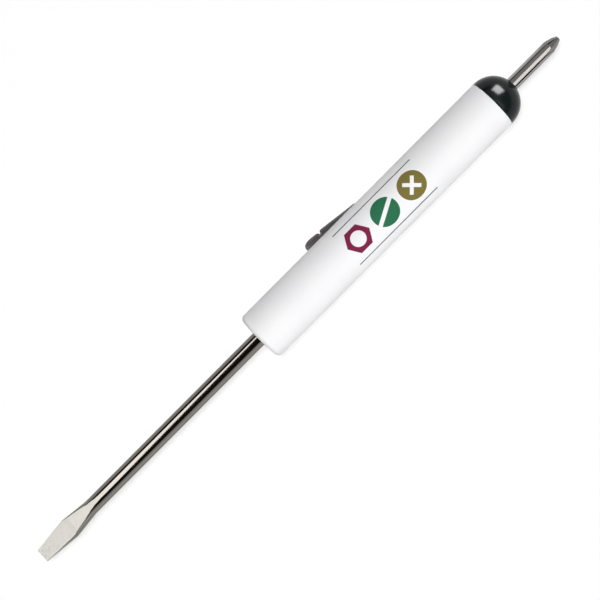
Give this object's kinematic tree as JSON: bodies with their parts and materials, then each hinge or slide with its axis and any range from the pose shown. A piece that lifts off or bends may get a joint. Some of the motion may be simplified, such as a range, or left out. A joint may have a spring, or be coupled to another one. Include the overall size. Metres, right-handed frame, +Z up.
{
  "type": "pocket screwdriver",
  "caption": "Pocket screwdriver: white barrel with a flat blade at one end, a black domed cap with a cross-point bit at the other, and a spring clip for a pocket.",
  "frame": {"origin": "middle of the tool's box on the table it lies on, resting on its barrel and its clip", "axes": "+X along the tool from the flat tip to the cross point, +Z up from the table, the clip on the +Y side"},
  "size_m": [0.1696, 0.0144, 0.0127],
  "materials": {
    "barrel_plastic": "white moulded plastic, semi-gloss",
    "blade_steel": "nickel-plated rod, tip ground to a pale satin",
    "cap_plastic": "near-black moulded plastic, glossy",
    "bit_steel": "nickel-plated, satin",
    "clip_steel": "nickel-plated spring steel"
  },
  "bodies": {
    "handle": {"handle_barrel": "barrel_plastic", "flat_blade": "blade_steel", "end_cap": "cap_plastic", "cross_bit": "bit_steel"},
    "clip": {"pocket_clip": "clip_steel"}
  },
  "joints": [
    {"name": "clip_flex", "type": "hinge", "parent": "handle", "child": "clip", "pos_m": [0.02443, 0.00429, 0.00299], "axis": [0, -0.5463, -0.8376], "range_deg": [0, 8], "stiffness_Nm_per_rad": 0.6}
  ]
}
